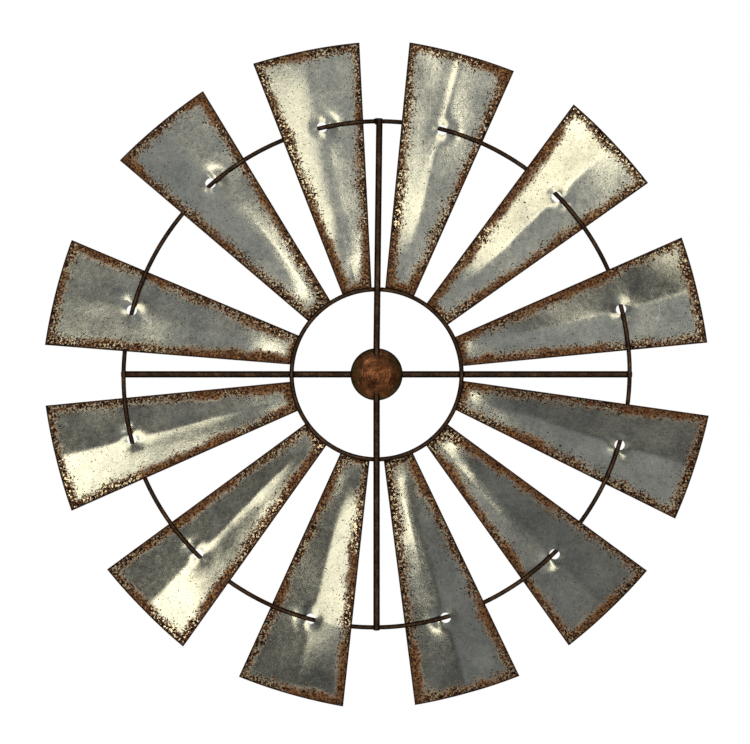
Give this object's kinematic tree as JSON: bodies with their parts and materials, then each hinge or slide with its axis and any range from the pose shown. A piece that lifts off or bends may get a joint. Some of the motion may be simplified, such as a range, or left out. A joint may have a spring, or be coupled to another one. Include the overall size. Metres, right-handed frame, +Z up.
{
  "type": "windmill wall decoration",
  "caption": "Round rustic sheet-metal windmill wheel for a wall, with twisted blades on two wire rings, crossed bars, a domed hub cap and a keyhole hanger.",
  "frame": {"origin": "centre of the hub, on the flat back face of the wall hanger, in the plane of the wall", "axes": "+Z up, +Y into the wall, +X to the right as seen from the front; the wheel faces -Y"},
  "size_m": [0.7098, 0.0349, 0.7108],
  "materials": {
    "galvanised_sheet": "weathered galvanised sheet with rusty edges",
    "rusty_rod": "dark brown rusted wire and rod",
    "hammered_cap": "hammered, rust-brown",
    "hanger_steel": "dark brown rusted strip"
  },
  "bodies": {
    "root": {"blade_01": "galvanised_sheet", "blade_02": "galvanised_sheet", "blade_03": "galvanised_sheet", "blade_04": "galvanised_sheet", "blade_05": "galvanised_sheet", "blade_06": "galvanised_sheet", "blade_07": "galvanised_sheet", "blade_08": "galvanised_sheet", "blade_09": "galvanised_sheet", "blade_10": "galvanised_sheet", "blade_11": "galvanised_sheet", "blade_12": "galvanised_sheet", "outer_ring": "rusty_rod", "inner_ring": "rusty_rod", "vertical_bar": "rusty_rod", "horizontal_bar": "rusty_rod", "hub_cap": "hammered_cap", "hanger_bracket": "hanger_steel"}
  },
  "joints": []
}
